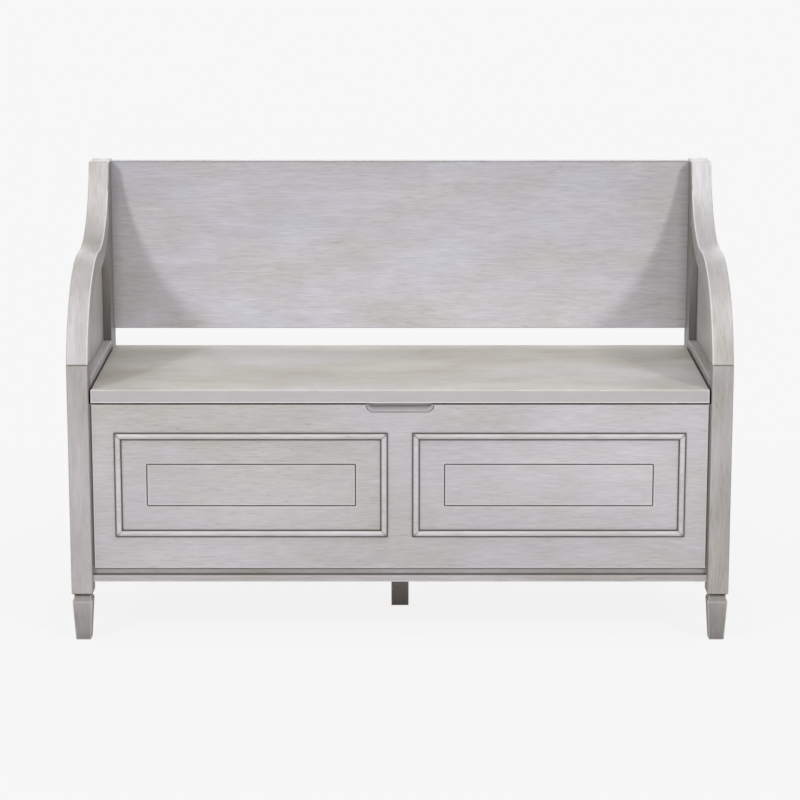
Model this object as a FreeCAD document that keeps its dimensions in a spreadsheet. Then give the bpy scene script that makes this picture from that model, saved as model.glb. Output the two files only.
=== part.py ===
import FreeCAD, Part
import Sketcher
import math
import os

# Settle bench: a storage bench with S-curved frame-and-panel arms and a hinged lid seat.
# Millimetres. X runs along the bench, Y from front to back, Z up.
# The origin is at the centre of the floor print.
# Each body is drawn with y measured back from the front plane of the legs and z up from
# the floor, and is then placed. The left end is drawn and the right end is its mirror.

SIZES = (
    ("overall_width", 1175, "outer faces of the two ends"),
    ("overall_depth", 470, "front of the legs to back of the rear posts"),
    ("seat_height", 459, "top of the lid above the floor"),
    ("frame_stock", 38, "thickness of each end frame, along the bench"),
    ("leg_depth", 38, "front leg, front to back"),
    ("box_bottom", 108, "underside of the storage box above the floor"),
    ("foot_height", 87, "where the square part of the leg ends"),
    ("foot_neck_drop", 3, "bevel from the square part down to the neck"),
    ("foot_shoulder_drop", 12, "neck down to the widest part of the foot"),
    ("foot_neck_inset", 4.5, "neck, in from each face of the leg"),
    ("foot_shoulder_inset", 1.25, "widest part of the foot, in from each face"),
    ("foot_toe_inset", 5.75, "foot at the floor, in from each face"),
    ("seam_rise", 45, "arm seam above the seat"),
    ("arm_rise", 168, "shoulder of the arm above its seam"),
    ("shoulder_flat", 20, "level stretch between the two bends of the arm"),
    ("sweep_radius", 180, "rising bend from the shoulder to the post"),
    ("sweep_angle", 75, "degrees that the rising bend turns through"),
    ("crest_setback", 18.9, "end of the rising bend behind the post's front face"),
    ("crest_straight", 5.6, "straight top of the post above the bend"),
    ("crest_round", 7, "radius from that straight to the level top"),
    ("arm_rail_rise", 13, "top of the arm's lower rail above the seat"),
    ("rail_width", 60, "height of the side and rear rails"),
    ("rail_thickness", 20, "rear rails, front to back"),
    ("tenon_thickness", 12, "tenons of the side rails and arms"),
    ("tenon_length", 20, "tenons of the side rails and arms"),
    ("tenon_shoulder", 8, "shoulder above and below a side or rear rail tenon"),
    ("arm_tenon_height", 23, "tenon of the arm in the rear post"),
    ("arm_tenon_drop", 12, "that tenon below the top of the arm's end"),
    ("stub_tenon_size", 16, "square tenon of the arm in the top of the leg"),
    ("stub_tenon_setback", 8, "that tenon behind the front of the leg"),
    ("cross_tenon_thickness", 10, "tenons of the rails that run along the bench"),
    ("cross_tenon_length", 10, "tenons of the rails that run along the bench"),
    ("panel_thickness", 9, "panels in the end frames"),
    ("groove_depth", 8, "panel grooves in the end frames"),
    ("panel_play", 0.5, "room round a panel in its grooves"),
    ("board_thickness", 20, "back board"),
    ("board_setback", 5, "back board in front of the back of the posts"),
    ("board_gap", 27, "open gap between the seat and the back board"),
    ("board_drop", 2.5, "top of the back board below the top of the posts"),
    ("board_tenon_length", 15, "tenons of the back board"),
    ("board_tenon_shoulder", 20, "back board above and below its tenons"),
    ("lid_thickness", 24, "lid"),
    ("lid_gap", 3, "lid above the box, filled by hinge leaves and bumpers"),
    ("lid_setback", 5, "front edge of the lid behind the front of the legs"),
    ("lid_side_gap", 3.5, "lid to each end frame"),
    ("open_gap", 2.5, "open lid to the back board"),
    ("pin_offset", 3.5, "hinge pin behind the back edge of the lid"),
    ("post_reveal", 1.5, "front face of the rear posts before the rear rails"),
    ("front_panel_setback", 7, "front panel behind the front of the legs"),
    ("front_panel_thickness", 18, "front panel"),
    ("tongue_thickness", 8, "tongues at the ends of the front panel"),
    ("tongue_shoulder", 10, "front panel above and below its tongues"),
    ("shadow_width", 4.3, "rebate at each end of the front panel"),
    ("shadow_depth", 3, "depth of that rebate"),
    ("finger_width", 122, "finger recess in the top of the front panel"),
    ("finger_drop", 15, "finger recess below the top edge"),
    ("finger_radius", 14, "lower corners of the finger recess"),
    ("finger_depth", 10, "finger recess, front to back"),
    ("finger_slope", 45, "degrees that the walls of the finger recess lean"),
    ("bead_gap", 43.8, "between the two moulding frames"),
    ("bead_margin_end", 42.8, "moulding frame to the leg"),
    ("bead_margin_top", 51.5, "moulding frame to the top of the front panel"),
    ("bead_margin_bottom", 57.3, "moulding frame to the bottom of the front panel"),
    ("bead_width", 12.8, "width of the moulding"),
    ("bead_step", 1.5, "flat beside the moulding's round, and its height"),
    ("bead_flatness", 0.1, "radius of the round over half its width"),
    ("field_margin", 56, "outside of the moulding frame to the scribed field"),
    ("field_groove_width", 2.5, "groove round the field"),
    ("field_groove_depth", 2, "groove round the field"),
    ("field_corner_radius", 3, "outer corners of that groove"),
    ("front_rail_height", 25, "rail under the front panel"),
    ("front_rail_setback", 12, "upper part of that rail behind the leg front"),
    ("front_rail_thickness", 18, "upper part of that rail"),
    ("front_lip_height", 12, "proud lower part of that rail"),
    ("front_lip_projection", 7, "how far it stands out"),
    ("front_tenon_shoulder", 4, "front rail above and below its tenon"),
    ("back_panel_thickness", 6, "rear panel of the box"),
    ("back_groove_depth", 6, "grooves for that panel"),
    ("cleat_depth", 18, "cleats under the bottom panel"),
    ("cleat_height", 12, "cleats under the bottom panel"),
    ("cleat_rise", 1, "underside of the cleats above the underside of the box"),
    ("bottom_thickness", 9, "bottom panel of the box"),
    ("bottom_play", 0.5, "room round the bottom panel"),
    ("bearer_width", 38, "bearer over the centre leg"),
    ("bearer_thickness", 18, "bearer over the centre leg"),
    ("centre_leg_size", 32, "square of the centre leg"),
    ("centre_tenon_size", 16, "tenon of the centre leg in the bearer"),
    ("centre_tenon_length", 10, "tenon of the centre leg in the bearer"),
    ("hinge_inset", 150, "end frame to the middle of a hinge"),
    ("hinge_length", 50, "length of a hinge"),
    ("hinge_leaf_width", 18, "hinge leaf under the lid"),
    ("hinge_leaf_thickness", 1.3, "hinge leaf"),
    ("hinge_barrel_radius", 3, "outside of the knuckles"),
    ("hinge_pin_radius", 1.5, "hinge pin"),
    ("hinge_running_gap", 0.05, "pin to the bore of the knuckles"),
    ("knuckle_gap", 0.4, "between knuckles"),
    ("screw_radius", 1.5, "shank of a hinge screw"),
    ("screw_head_radius", 2.9, "countersunk head of a hinge screw"),
    ("screw_length", 14, "hinge screw"),
    ("screw_pitch", 28, "between the screws of one leaf"),
    ("screw_play", 0.15, "screw to the wall of its hole"),
    ("bumper_size", 10, "square of a lid bumper"),
    ("bumper_play", 0.2, "lid bumper to the lid"),
    ("bumper_inset", 60, "lid bumper from the end frame"),
    ("frame_chamfer", 1.5, "eased edges of the legs, arms and rear posts"),
    ("seam_chamfer", 0.8, "eased edges that meet in the seam of an arm and its leg"),
    ("edge_radius", 1.5, "rounded edges of the front panel, its rail and the back board"),
    ("lid_edge_radius", 2, "rounded top edges of the lid"),
)

KNUCKLES = 3
RAIL_KNUCKLES = (0, 2)
LID_KNUCKLES = (1,)
SCREWS_PER_LEAF = 2
HALF_TURN = 180
QUARTER_TURN = 90
FULL_TURN = 360
PAST = 1.0
CORNER_TOLERANCE = 0.01

doc = FreeCAD.newDocument("settle_bench")
sheet = doc.addObject("Spreadsheet::Sheet", "Sizes")
for row, (alias, number, meaning) in enumerate(SIZES, 1):
    sheet.set("A%d" % row, alias)
    sheet.set("B%d" % row, str(number))
    sheet.set("C%d" % row, meaning)
    sheet.setAlias("B%d" % row, alias)
doc.recompute()


def size(expression):
    """The value of an expression on the sheet's sizes."""
    return float(sheet.evalExpression(expression))


def named(alias):
    return "Sizes." + alias


def total(*terms):
    return "(" + " + ".join(terms) + ")"


def less(first, *terms):
    return "(" + " - ".join((first,) + terms) + ")"


def half(expression):
    return "(%s / 2)" % expression


def minus(expression):
    return "(-1 * %s)" % expression


# Places along the bench, from the centre.

END_FACE = half("Sizes.overall_width")
INNER_FACE = less(END_FACE, "Sizes.frame_stock")
PANEL_SIDE = half(less("Sizes.frame_stock", "Sizes.panel_thickness"))
TENON_SIDE = half(less("Sizes.frame_stock", "Sizes.tenon_thickness"))

HINGE_MIDDLE = less(INNER_FACE, "Sizes.hinge_inset")

# Heights above the floor.

BOX_TOP = less("Sizes.seat_height", "Sizes.lid_thickness", "Sizes.lid_gap")
LID_BOTTOM = less("Sizes.seat_height", "Sizes.lid_thickness")
PIN_HEIGHT = less(LID_BOTTOM, half("Sizes.lid_gap"))
SEAM = total("Sizes.seat_height", "Sizes.seam_rise")
SHOULDER = total(SEAM, "Sizes.arm_rise")
ARM_RAIL_TOP = total("Sizes.seat_height", "Sizes.arm_rail_rise")
ARM_RAIL_BOTTOM = less(ARM_RAIL_TOP, "Sizes.rail_width")
LOW_RAIL_TOP = total("Sizes.box_bottom", "Sizes.rail_width")
FRONT_RAIL_TOP = total("Sizes.box_bottom", "Sizes.front_rail_height")
HINGE_RAIL_BOTTOM = less(BOX_TOP, "Sizes.rail_width")
CLEAT_BOTTOM = total("Sizes.box_bottom", "Sizes.cleat_rise")
CLEAT_TOP = total(CLEAT_BOTTOM, "Sizes.cleat_height")
BEARER_BOTTOM = less(CLEAT_TOP, "Sizes.bearer_thickness")

# Depths behind the front plane of the legs.

BOARD_BACK = less("Sizes.overall_depth", "Sizes.board_setback")
BOARD_FRONT = less(BOARD_BACK, "Sizes.board_thickness")
PIN_DEPTH = less(BOARD_FRONT, "Sizes.open_gap", "Sizes.lid_thickness", half("Sizes.lid_gap"))
LID_BACK = less(PIN_DEPTH, "Sizes.pin_offset")
REAR_RAIL_FRONT = less(LID_BACK, "Sizes.rail_thickness")
POST_FRONT = less(REAR_RAIL_FRONT, "Sizes.post_reveal")
PANEL_FRONT = "Sizes.front_panel_setback"
PANEL_BACK = total(PANEL_FRONT, "Sizes.front_panel_thickness")
FRONT_RAIL_BACK = total("Sizes.front_rail_setback", "Sizes.front_rail_thickness")
FRONT_CLEAT_BACK = total(FRONT_RAIL_BACK, "Sizes.cleat_depth")
REAR_CLEAT_FRONT = less(REAR_RAIL_FRONT, "Sizes.cleat_depth")
MIDDLE = half("Sizes.overall_depth")

# The S-curve of the arm: a bend down to the seam, a level stretch and a rising bend.

SWEEP_START = less(
    total(POST_FRONT, "Sizes.crest_setback"), "Sizes.sweep_radius * sin(Sizes.sweep_angle)"
)
SHOULDER_DEPTH = less(SWEEP_START, "Sizes.shoulder_flat")
BEND_RADIUS = "((%s^2 + Sizes.arm_rise^2) / (2 * Sizes.arm_rise))" % SHOULDER_DEPTH
BEND_CENTRE = less(SHOULDER, BEND_RADIUS)
SWEEP_CENTRE = total(SHOULDER, "Sizes.sweep_radius")
SWEEP_REACH = less(POST_FRONT, SWEEP_START)
SWEEP_END = total(POST_FRONT, "Sizes.crest_setback")
SWEEP_TOP = less(SWEEP_CENTRE, "Sizes.sweep_radius * cos(Sizes.sweep_angle)")
POST_TOP = total(SWEEP_TOP, "Sizes.crest_straight")
CREST_DEPTH = total(SWEEP_END, "Sizes.crest_straight / tan(Sizes.sweep_angle)")
CREST_TANGENT = "(Sizes.crest_round * tan(Sizes.sweep_angle / 2))"
BOARD_BOTTOM = total("Sizes.seat_height", "Sizes.board_gap")
BOARD_TOP = less(POST_TOP, "Sizes.board_drop")


def bend_inside(start):
    """Radius of the first bend through a point of the seam that lies this far back."""
    across = less(SHOULDER_DEPTH, start)
    return "sqrt(%s^2 + %s^2)" % (across, less(SEAM, BEND_CENTRE))


def sweep_outside(start):
    """Radius of the rising bend, parallel to the first bend through that point."""
    return total("Sizes.sweep_radius", less(BEND_RADIUS, bend_inside(start)))


def sweep_height(radius, reach):
    """Height of the rising bend at a distance behind its start."""
    return less(SWEEP_CENTRE, "sqrt(%s^2 - %s^2)" % (radius, reach))


def new_body(label, x_place, compound=False):
    """A body whose y starts at the front plane of the legs and whose z starts at the floor."""
    body = doc.addObject("PartDesign::Body", label)
    body.Label = label
    body.AllowCompound = compound
    place(body, x_place, minus(MIDDLE), "0")
    return body


def place(body, x_place, y_place, z_place, rotation=None):
    if rotation is not None:
        body.Placement = FreeCAD.Placement(FreeCAD.Vector(), rotation)
    body.setExpression("Placement.Base.x", x_place)
    body.setExpression("Placement.Base.y", y_place)
    body.setExpression("Placement.Base.z", z_place)


def origin_item(body, role):
    for item in body.Origin.OriginFeatures:
        if item.Role == role:
            return item
    raise ValueError("no origin item " + role)


def new_sketch(body, name, plane, offset):
    """A sketch on an origin plane of its own body, moved along the plane's positive axis."""
    sketch = body.newObject("Sketcher::SketchObject", body.Label + "_" + name + "_sketch")
    sketch.AttachmentSupport = [(origin_item(body, plane), "")]
    sketch.MapMode = "FlatFace"
    along_normal = minus(offset) if plane == "XZ_Plane" else offset
    sketch.setExpression("AttachmentOffset.Base.z", along_normal)
    return sketch


def pin_point(sketch, index, end, place_xy, tag):
    """Hold a point of the sketch at two expressions."""
    for axis, expression in zip(("DistanceX", "DistanceY"), place_xy):
        constraint = Sketcher.Constraint(axis, index, end, size(expression))
        number = sketch.addConstraint(constraint)
        name = "%s_%s" % (tag, axis[-1])
        sketch.renameConstraint(number, name)
        sketch.setExpression("Constraints." + name, expression)


def arc_between(start, end, radius, side):
    """An arc of less than a half turn; side is 1 when its centre is left of the chord."""
    chord = end - start
    rise = math.sqrt(max(radius**2 - (chord.Length / 2) ** 2, 0))
    left = FreeCAD.Vector(-chord.y, chord.x, 0).normalize()
    centre = (start + end) / 2 + left * rise * side
    normal = FreeCAD.Vector(0, 0, 1)
    circle = Part.Circle(centre, normal, radius)
    first = math.atan2(start.y - centre.y, start.x - centre.x)
    last = math.atan2(end.y - centre.y, end.x - centre.x)
    if side < 0:
        first, last = last, first
    if last < first:
        last += 2 * math.pi
    return Part.ArcOfCircle(circle, first, last)


def outline(sketch, corners, tag="p"):
    """A closed outline. A corner is (x, y), or (x, y, radius, side) when an arc leaves it."""
    first = sketch.GeometryCount
    points = [FreeCAD.Vector(size(corner[0]), size(corner[1]), 0) for corner in corners]
    count = len(corners)
    starts = []
    ends = []
    for number, corner in enumerate(corners):
        start = points[number]
        end = points[(number + 1) % count]
        if len(corner) == 2:
            sketch.addGeometry(Part.LineSegment(start, end))
            starts.append(1)
            ends.append(2)
        else:
            sketch.addGeometry(arc_between(start, end, size(corner[2]), corner[3]))
            starts.append(1 if corner[3] > 0 else 2)
            ends.append(2 if corner[3] > 0 else 1)
    for number in range(count):
        following = (number + 1) % count
        sketch.addConstraint(
            Sketcher.Constraint(
                "Coincident",
                first + number,
                ends[number],
                first + following,
                starts[following],
            )
        )
    for number, corner in enumerate(corners):
        pin_point(sketch, first + number, starts[number], corner[:2], "%s%d" % (tag, number))
        if len(corner) > 2:
            radius = Sketcher.Constraint("Radius", first + number, size(corner[2]))
            constraint = sketch.addConstraint(radius)
            name = "%s%d_R" % (tag, number)
            sketch.renameConstraint(constraint, name)
            sketch.setExpression("Constraints." + name, corner[2])


def rectangle(sketch, low_x, low_y, high_x, high_y, tag="p"):
    corners = ((low_x, low_y), (high_x, low_y), (high_x, high_y), (low_x, high_y))
    outline(sketch, corners, tag)


def circle(sketch, x_place, y_place, radius, tag="c"):
    centre = FreeCAD.Vector(size(x_place), size(y_place), 0)
    index = sketch.addGeometry(Part.Circle(centre, FreeCAD.Vector(0, 0, 1), size(radius)))
    pin_point(sketch, index, 3, (x_place, y_place), tag)
    constraint = sketch.addConstraint(Sketcher.Constraint("Radius", index, size(radius)))
    sketch.renameConstraint(constraint, tag + "_R")
    sketch.setExpression("Constraints.%s_R" % tag, radius)


def settled(feature, grows, before):
    """Recompute and make sure that the feature did what it was meant to do."""
    doc.recompute()
    volume = feature.Shape.Volume
    if (volume > before) != grows or volume == before:
        raise ValueError("%s changed nothing or the wrong way" % feature.Name)
    return feature


def pad(body, sketch, name, length):
    """Add material from the sketch towards the plane's positive axis."""
    before = body.Shape.Volume if body.Tip else 0
    feature = body.newObject("PartDesign::Pad", body.Label + "_" + name)
    feature.Profile = sketch
    feature.Reversed = "XZ_Plane" in sketch.AttachmentSupport[0][0].Role
    feature.setExpression("Length", length)
    return settled(feature, True, before)


def pocket(body, sketch, name, length=None, lean=None):
    """Cut from the sketch towards the plane's positive axis, or right through both ways.

    The walls lean inwards by the angle of lean.
    """
    before = body.Shape.Volume
    feature = body.newObject("PartDesign::Pocket", body.Label + "_" + name)
    feature.Profile = sketch
    if length is None:
        feature.Type = "ThroughAll"
        feature.Midplane = True
    else:
        feature.Reversed = "XZ_Plane" not in sketch.AttachmentSupport[0][0].Role
        feature.setExpression("Length", length)
    if lean is not None:
        feature.setExpression("TaperAngle", minus(lean))
    return settled(feature, False, before)


def pad_block(body, name, across, deep, high):
    """Add a block between two values along each axis."""
    sketch = new_sketch(body, name, "XY_Plane", high[0])
    rectangle(sketch, across[0], deep[0], across[1], deep[1])
    return pad(body, sketch, name, less(high[1], high[0]))


def cut_block(body, name, across, deep, high):
    """Cut a block between two values along each axis."""
    sketch = new_sketch(body, name, "XY_Plane", high[0])
    rectangle(sketch, across[0], deep[0], across[1], deep[1])
    return pocket(body, sketch, name, less(high[1], high[0]))


def pad_ends(body, name, reach, length, deep, high):
    """Add a tenon or tongue to each end of a piece that runs along the bench."""
    pad_block(body, name + "_left", (minus(total(reach, length)), minus(reach)), deep, high)
    pad_block(body, name + "_right", (reach, total(reach, length)), deep, high)


def picked_edges(feature, chosen):
    """Names of the edges that the test picks on a feature's shape."""
    names = []
    for number, edge in enumerate(feature.Shape.Edges, 1):
        if chosen(edge):
            names.append("Edge%d" % number)
    return names


def round_edges(body, name, radius, chosen):
    """Round the edges that the test picks on the finished shape."""
    tip = body.Tip
    feature = body.newObject("PartDesign::Fillet", body.Label + "_" + name)
    feature.Base = (tip, picked_edges(tip, chosen))
    feature.setExpression("Radius", radius)
    return settled(feature, False, tip.Shape.Volume)


def chamfer_edges(body, name, reach, chosen):
    """Take a chamfer off the edges that the test picks."""
    tip = body.Tip
    feature = body.newObject("PartDesign::Chamfer", body.Label + "_" + name)
    feature.Base = (tip, picked_edges(tip, chosen))
    feature.setExpression("Size", reach)
    return settled(feature, False, tip.Shape.Volume)


def near(value, expression):
    return abs(value - size(expression)) < CORNER_TOLERANCE


def all_at(edge, axis, expression):
    """Whether the whole edge lies on a plane across the axis."""
    box = edge.BoundBox
    low = getattr(box, axis + "Min")
    high = getattr(box, axis + "Max")
    return near(low, expression) and near(high, expression)


def at_seam(edge):
    return all_at(edge, "Z", SEAM)


def foot_side(edge_place, inward):
    """Corners down one side of a foot, from the floor up. inward is + or -."""
    sign = "" if inward == "+" else "-1 * "

    def inset(alias):
        return total(edge_place, sign + named(alias))

    neck = less("Sizes.foot_height", "Sizes.foot_neck_drop")
    shoulder = less(neck, "Sizes.foot_shoulder_drop")
    bulge = less("Sizes.foot_neck_inset", "Sizes.foot_shoulder_inset")
    radius = "((%s^2 + Sizes.foot_shoulder_drop^2) / (2 * %s))" % (bulge, bulge)
    side = 1 if inward == "+" else -1
    return [
        (inset("foot_toe_inset"), "0"),
        (inset("foot_shoulder_inset"), shoulder, radius, side),
        (inset("foot_neck_inset"), neck),
        (edge_place, "Sizes.foot_height"),
    ]


def mirrored_side(corners):
    """The same side walked downwards, with its arcs turned round."""
    turned = []
    for number in range(len(corners) - 1, -1, -1):
        corner = corners[number][:2]
        if number > 0 and len(corners[number - 1]) > 2:
            radius, side = corners[number - 1][2:]
            corner = corner + (radius, -side)
        turned.append(corner)
    return turned


def cut_foot(body, name, plane, edge_place, inward):
    """Shape one side of a foot by cutting away what lies outside its outline."""
    sign = "-1 * " if inward == "+" else ""
    outside = total(edge_place, "%s%s" % (sign, PAST))
    side = foot_side(edge_place, inward)
    corners = side + [(outside, "Sizes.foot_height"), (outside, "0")]
    sketch = new_sketch(body, name, plane, "0")
    outline(sketch, corners)
    pocket(body, sketch, name)


PANEL_ACROSS = (PANEL_SIDE, total(PANEL_SIDE, "Sizes.panel_thickness"))
TENON_ACROSS = (TENON_SIDE, total(TENON_SIDE, "Sizes.tenon_thickness"))
STUB_SIDE = half(less("Sizes.frame_stock", "Sizes.stub_tenon_size"))
STUB_ACROSS = (STUB_SIDE, total(STUB_SIDE, "Sizes.stub_tenon_size"))
STUB_DEEP = ("Sizes.stub_tenon_setback", total("Sizes.stub_tenon_setback", "Sizes.stub_tenon_size"))
STUB_HIGH = (less(SEAM, "Sizes.tenon_length"), SEAM)
TONGUE_FRONT = total(
    PANEL_FRONT, half(less("Sizes.front_panel_thickness", "Sizes.tongue_thickness"))
)
TONGUE_DEEP = (TONGUE_FRONT, total(TONGUE_FRONT, "Sizes.tongue_thickness"))
TONGUE_HIGH = (
    total(FRONT_RAIL_TOP, "Sizes.tongue_shoulder"),
    less(BOX_TOP, "Sizes.tongue_shoulder"),
)
FRONT_TENON_FRONT = total(
    "Sizes.front_rail_setback",
    half(less("Sizes.front_rail_thickness", "Sizes.cross_tenon_thickness")),
)
FRONT_TENON_DEEP = (FRONT_TENON_FRONT, total(FRONT_TENON_FRONT, "Sizes.cross_tenon_thickness"))
FRONT_TENON_HIGH = (
    total("Sizes.box_bottom", "Sizes.front_tenon_shoulder"),
    less(FRONT_RAIL_TOP, "Sizes.front_tenon_shoulder"),
)
REAR_TENON_FRONT = total(
    REAR_RAIL_FRONT, half(less("Sizes.rail_thickness", "Sizes.cross_tenon_thickness"))
)
REAR_TENON_DEEP = (REAR_TENON_FRONT, total(REAR_TENON_FRONT, "Sizes.cross_tenon_thickness"))
BACK_PANEL_FRONT = total(
    REAR_RAIL_FRONT, half(less("Sizes.rail_thickness", "Sizes.back_panel_thickness"))
)
BACK_PANEL_DEEP = (BACK_PANEL_FRONT, total(BACK_PANEL_FRONT, "Sizes.back_panel_thickness"))
BOARD_TENON_FRONT = total(
    BOARD_FRONT, half(less("Sizes.board_thickness", "Sizes.cross_tenon_thickness"))
)
BOARD_TENON_DEEP = (BOARD_TENON_FRONT, total(BOARD_TENON_FRONT, "Sizes.cross_tenon_thickness"))
BOARD_TENON_HIGH = (
    total(BOARD_BOTTOM, "Sizes.board_tenon_shoulder"),
    less(BOARD_TOP, "Sizes.board_tenon_shoulder"),
)
ARM_TENON_TOP = less(sweep_height("Sizes.sweep_radius", SWEEP_REACH), "Sizes.arm_tenon_drop")
ARM_TENON_HIGH = (less(ARM_TENON_TOP, "Sizes.arm_tenon_height"), ARM_TENON_TOP)
POST_GROOVE_TOP = sweep_height(
    sweep_outside(less("Sizes.leg_depth", "Sizes.groove_depth")),
    total(SWEEP_REACH, "Sizes.groove_depth"),
)


def rail_tenon_high(rail_bottom):
    """Heights of the tenon of a side or rear rail."""
    low = total(rail_bottom, "Sizes.tenon_shoulder")
    high = less(total(rail_bottom, "Sizes.rail_width"), "Sizes.tenon_shoulder")
    return (low, high)


def mortise_side_rails(body, deep):
    """Mortises for the tenons of both side rails."""
    low_high = rail_tenon_high("Sizes.box_bottom")
    top_high = rail_tenon_high(ARM_RAIL_BOTTOM)
    cut_block(body, "mortise_low", TENON_ACROSS, deep, low_high)
    cut_block(body, "mortise_high", TENON_ACROSS, deep, top_high)


def front_leg():
    """Front leg: square, with a foot shaped on all four sides."""
    body = new_body("front_leg_left", minus(END_FACE))
    sketch = new_sketch(body, "face", "XZ_Plane", "0")
    corners = mirrored_side(foot_side("0", "+"))
    corners += foot_side("Sizes.frame_stock", "-")
    corners += [("Sizes.frame_stock", SEAM), ("0", SEAM)]
    outline(sketch, corners)
    pad(body, sketch, "face", "Sizes.leg_depth")
    cut_foot(body, "foot_front", "YZ_Plane", "0", "+")
    cut_foot(body, "foot_back", "YZ_Plane", "Sizes.leg_depth", "-")

    def front_arris(edge):
        upright = edge.BoundBox.ZLength > size(SEAM) / 2
        return upright and all_at(edge, "Y", "0")

    chamfer_edges(body, "arris", "Sizes.frame_chamfer", front_arris)
    chamfer_edges(body, "seam", "Sizes.seam_chamfer", at_seam)
    groove = less("Sizes.leg_depth", "Sizes.groove_depth")
    low = less(LOW_RAIL_TOP, "Sizes.groove_depth")
    cut_block(body, "groove", PANEL_ACROSS, (groove, "Sizes.leg_depth"), (low, SEAM))
    mortise = (less("Sizes.leg_depth", "Sizes.tenon_length"), "Sizes.leg_depth")
    mortise_side_rails(body, mortise)
    cut_block(body, "mortise_arm", STUB_ACROSS, STUB_DEEP, STUB_HIGH)
    tongue = (less("Sizes.frame_stock", "Sizes.groove_depth"), "Sizes.frame_stock")
    cut_block(body, "tongue_groove", tongue, TONGUE_DEEP, TONGUE_HIGH)
    tenon = (less("Sizes.frame_stock", "Sizes.cross_tenon_length"), "Sizes.frame_stock")
    cut_block(body, "mortise_rail", tenon, FRONT_TENON_DEEP, FRONT_TENON_HIGH)
    return body


def rear_post():
    """Rear post: one wide board from the floor to the top, its crest cut to the S-curve."""
    body = new_body("rear_post_left", minus(END_FACE))
    sketch = new_sketch(body, "side", "YZ_Plane", "0")
    start = sweep_height("Sizes.sweep_radius", SWEEP_REACH)
    corners = mirrored_side(foot_side(POST_FRONT, "+"))
    corners += foot_side("Sizes.overall_depth", "-")
    corners += [
        ("Sizes.overall_depth", POST_TOP),
        (total(CREST_DEPTH, CREST_TANGENT), POST_TOP, "Sizes.crest_round", 1),
        (
            less(CREST_DEPTH, CREST_TANGENT + " * cos(Sizes.sweep_angle)"),
            less(POST_TOP, CREST_TANGENT + " * sin(Sizes.sweep_angle)"),
        ),
        (SWEEP_END, SWEEP_TOP, "Sizes.sweep_radius", -1),
        (POST_FRONT, start),
    ]
    outline(sketch, corners)
    pad(body, sketch, "side", "Sizes.frame_stock")
    cut_foot(body, "foot_outer", "XZ_Plane", "0", "+")
    cut_foot(body, "foot_inner", "XZ_Plane", "Sizes.frame_stock", "-")

    def arris(edge):
        """The upright back edges, the front edges of the crest and the edges of the top."""
        box = edge.BoundBox
        if all_at(edge, "Z", POST_TOP):
            return True
        side = all_at(edge, "X", "0") or all_at(edge, "X", "Sizes.frame_stock")
        back = all_at(edge, "Y", "Sizes.overall_depth") and box.ZMax > size(SEAM)
        crest = box.ZMin > size(start) - CORNER_TOLERANCE
        return side and (back or crest)

    chamfer_edges(body, "arris", "Sizes.frame_chamfer", arris)
    groove = (POST_FRONT, total(POST_FRONT, "Sizes.groove_depth"))
    low = less(LOW_RAIL_TOP, "Sizes.groove_depth")
    cut_block(body, "groove", PANEL_ACROSS, groove, (low, POST_GROOVE_TOP))
    mortise = (POST_FRONT, total(POST_FRONT, "Sizes.tenon_length"))
    mortise_side_rails(body, mortise)
    cut_block(body, "mortise_arm", TENON_ACROSS, mortise, ARM_TENON_HIGH)
    tenon = (less("Sizes.frame_stock", "Sizes.cross_tenon_length"), "Sizes.frame_stock")
    low_high = rail_tenon_high("Sizes.box_bottom")
    top_high = rail_tenon_high(HINGE_RAIL_BOTTOM)
    cut_block(body, "mortise_rail_low", tenon, REAR_TENON_DEEP, low_high)
    cut_block(body, "mortise_rail_high", tenon, REAR_TENON_DEEP, top_high)
    panel = (less("Sizes.frame_stock", "Sizes.back_groove_depth"), "Sizes.frame_stock")
    panel_high = (
        less(LOW_RAIL_TOP, "Sizes.back_groove_depth"),
        total(HINGE_RAIL_BOTTOM, "Sizes.back_groove_depth"),
    )
    cut_block(body, "back_groove", panel, BACK_PANEL_DEEP, panel_high)
    board = (less("Sizes.frame_stock", "Sizes.board_tenon_length"), "Sizes.frame_stock")
    cut_block(body, "mortise_board", board, BOARD_TENON_DEEP, BOARD_TENON_HIGH)
    return body


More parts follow.
